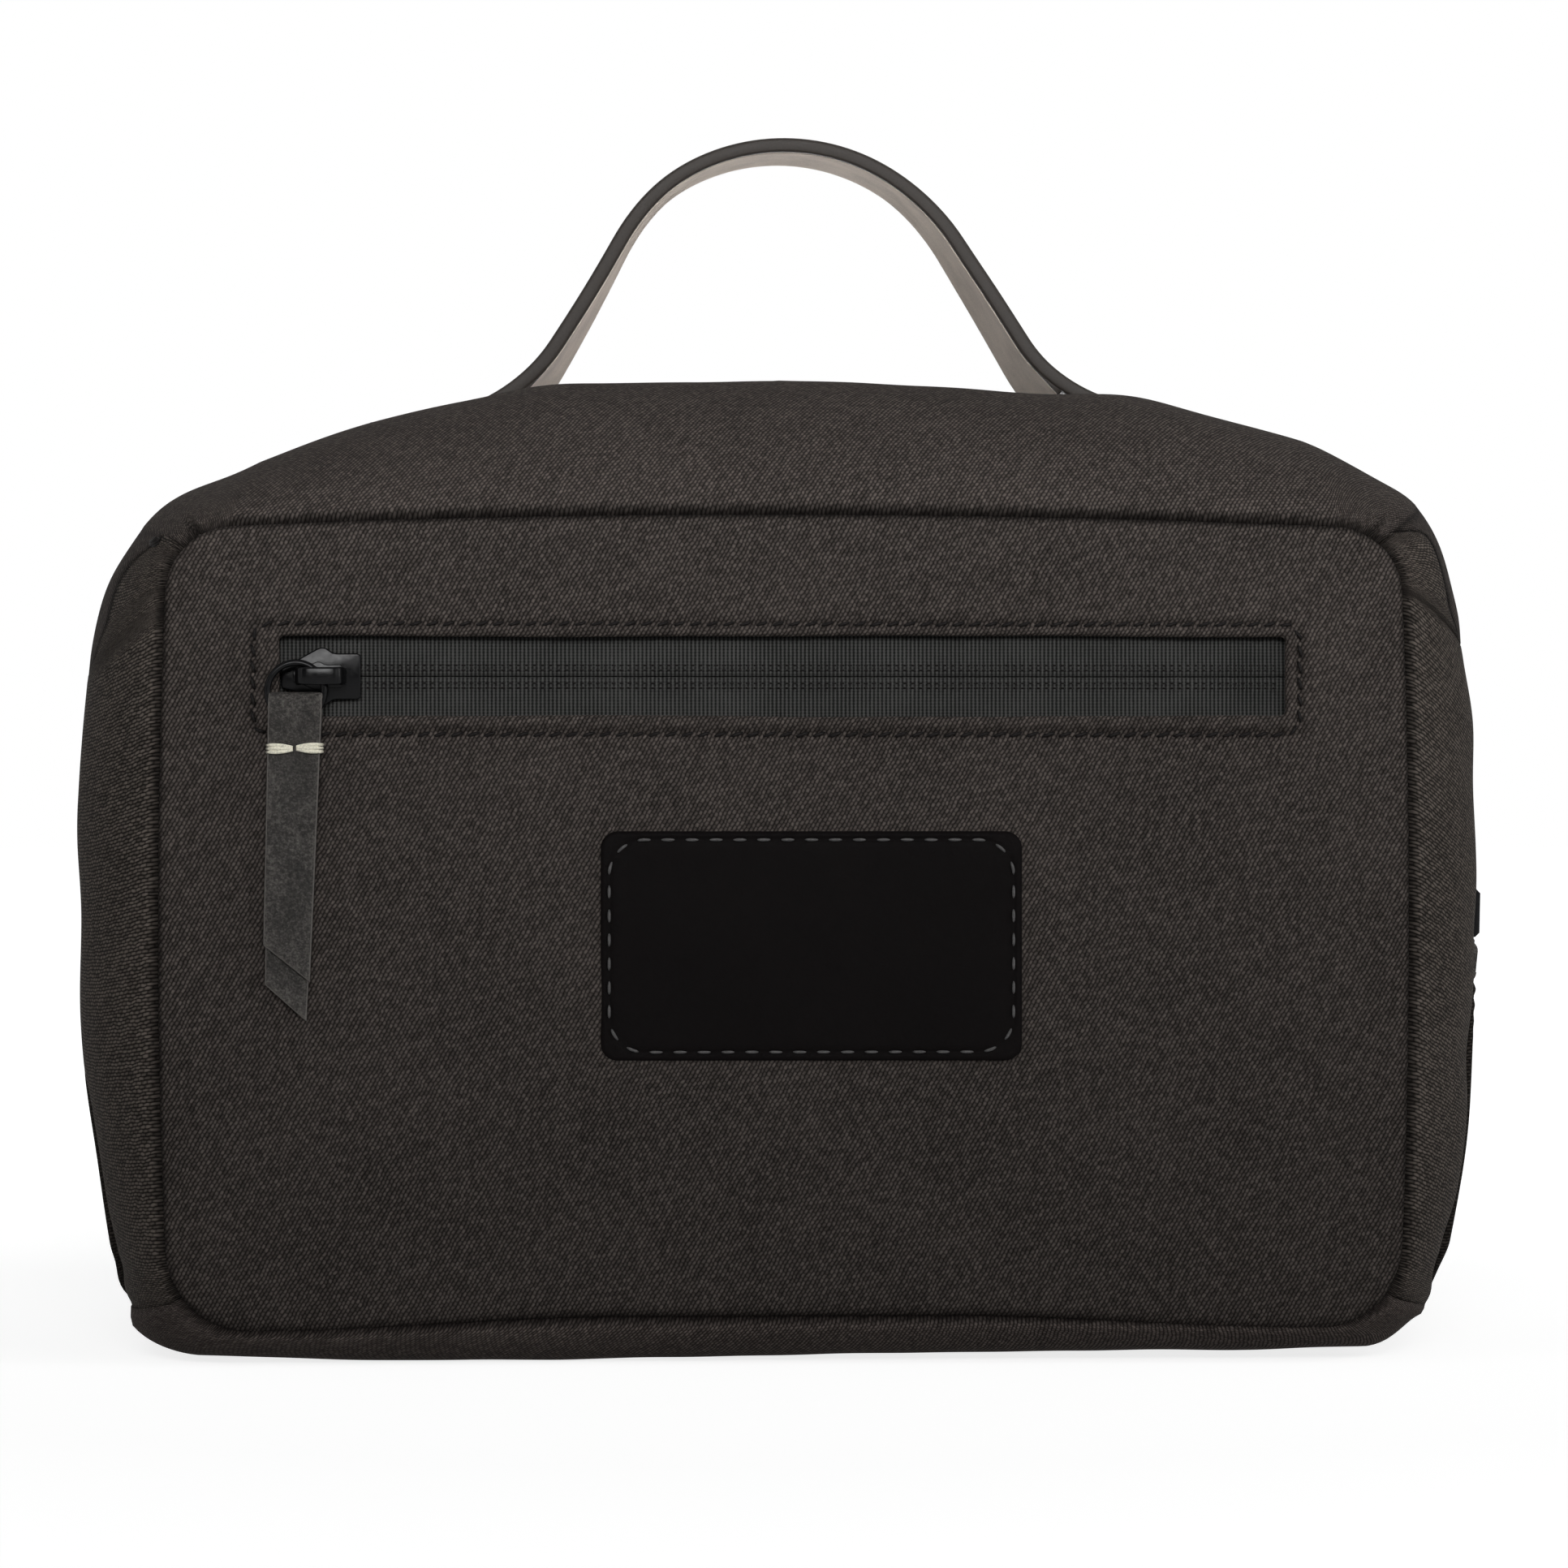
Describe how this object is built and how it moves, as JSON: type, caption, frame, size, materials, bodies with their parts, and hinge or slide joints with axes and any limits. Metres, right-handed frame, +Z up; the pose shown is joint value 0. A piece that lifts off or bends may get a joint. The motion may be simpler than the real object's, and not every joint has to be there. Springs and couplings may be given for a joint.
{
  "type": "shaving kit bag",
  "caption": "Soft padded shaving kit bag with a zip round its mouth, an arched leather handle, a zipped front pocket with a leather pull, and a bare leather patch.",
  "frame": {"origin": "middle of the base on the surface that the bag stands on, in the plane of the main zip", "axes": "+X to the right along the bag seen from its front, +Y to the back (the pocket faces -Y), +Z up"},
  "size_m": [0.2611, 0.1143, 0.2247],
  "materials": {
    "canvas": "charcoal brown twill",
    "base_canvas": "dark twill",
    "lining": "plain grey lining",
    "board": "stiff board",
    "zip_tape": "ribbed woven tape",
    "zip_coil": "nylon coil",
    "black_metal": "semi-gloss black",
    "strap_leather": "dark smooth leather with painted edges",
    "suede": "pale suede lining",
    "pull_leather": "dark fine-grained leather",
    "patch_leather": "near-black smooth leather"
  },
  "bodies": {
    "rear_shell": {"back_panel": "canvas", "rear_gusset_top": "canvas", "rear_gusset_left": "canvas", "rear_gusset_right": "canvas", "base_panel": "base_canvas", "base_board": "board", "base_lining": "lining", "rear_lining": "lining", "rear_zip_tape": "zip_tape", "rear_zip_coil": "zip_coil", "zip_end_stops": "black_metal", "handle_strap": "strap_leather", "handle_lining": "suede"},
    "front_shell": {"front_panel": "canvas", "front_gusset_top": "canvas", "front_gusset_left": "canvas", "front_gusset_right": "canvas", "front_lining": "lining", "front_zip_tape": "zip_tape", "front_zip_coil": "zip_coil", "pocket_tape_upper": "zip_tape", "pocket_tape_lower": "zip_tape", "pocket_coil_upper": "zip_coil", "pocket_coil_lower": "zip_coil", "pocket_zip_stops": "black_metal", "pocket_bag": "lining", "leather_patch": "patch_leather"},
    "pocket_slider": {"pocket_slider": "black_metal"},
    "pocket_ring": {"pocket_pull_ring": "black_metal"},
    "pocket_pull": {"pocket_pull": "pull_leather"},
    "main_slider": {"main_slider": "black_metal"},
    "main_pull": {"main_pull_ring": "black_metal", "main_pull": "pull_leather"}
  },
  "joints": [
    {"name": "front_opening", "type": "hinge", "parent": "rear_shell", "child": "front_shell", "pos_m": [0, -0.055, 0.0063], "axis": [1, 0, 0], "range_deg": [0, 22]},
    {"name": "pocket_slider_travel", "type": "slide", "parent": "front_shell", "child": "pocket_slider", "axis": [1, 0, 0], "range_m": [0, 0.16]},
    {"name": "pocket_ring_swing", "type": "hinge", "parent": "pocket_slider", "child": "pocket_ring", "pos_m": [-0.0821, -0.05725, 0.122], "axis": [-0.5299, 0, 0.848], "range_deg": [0, 80]},
    {"name": "pocket_pull_turn", "type": "hinge", "parent": "pocket_ring", "child": "pocket_pull", "pos_m": [-0.08634, -0.05725, 0.11935], "axis": [0, 1, 0], "range_deg": [-20, 20]},
    {"name": "main_slider_travel", "type": "hinge", "parent": "rear_shell", "child": "main_slider", "pos_m": [-0.3705, 0, 0.09], "axis": [0, -1, 0], "range_deg": [-1.4, 4.4]},
    {"name": "main_pull_swing", "type": "hinge", "parent": "main_slider", "child": "main_pull", "pos_m": [0.12953, 0, 0.07891], "axis": [0, -1, 0], "range_deg": [0, 110]}
  ]
}
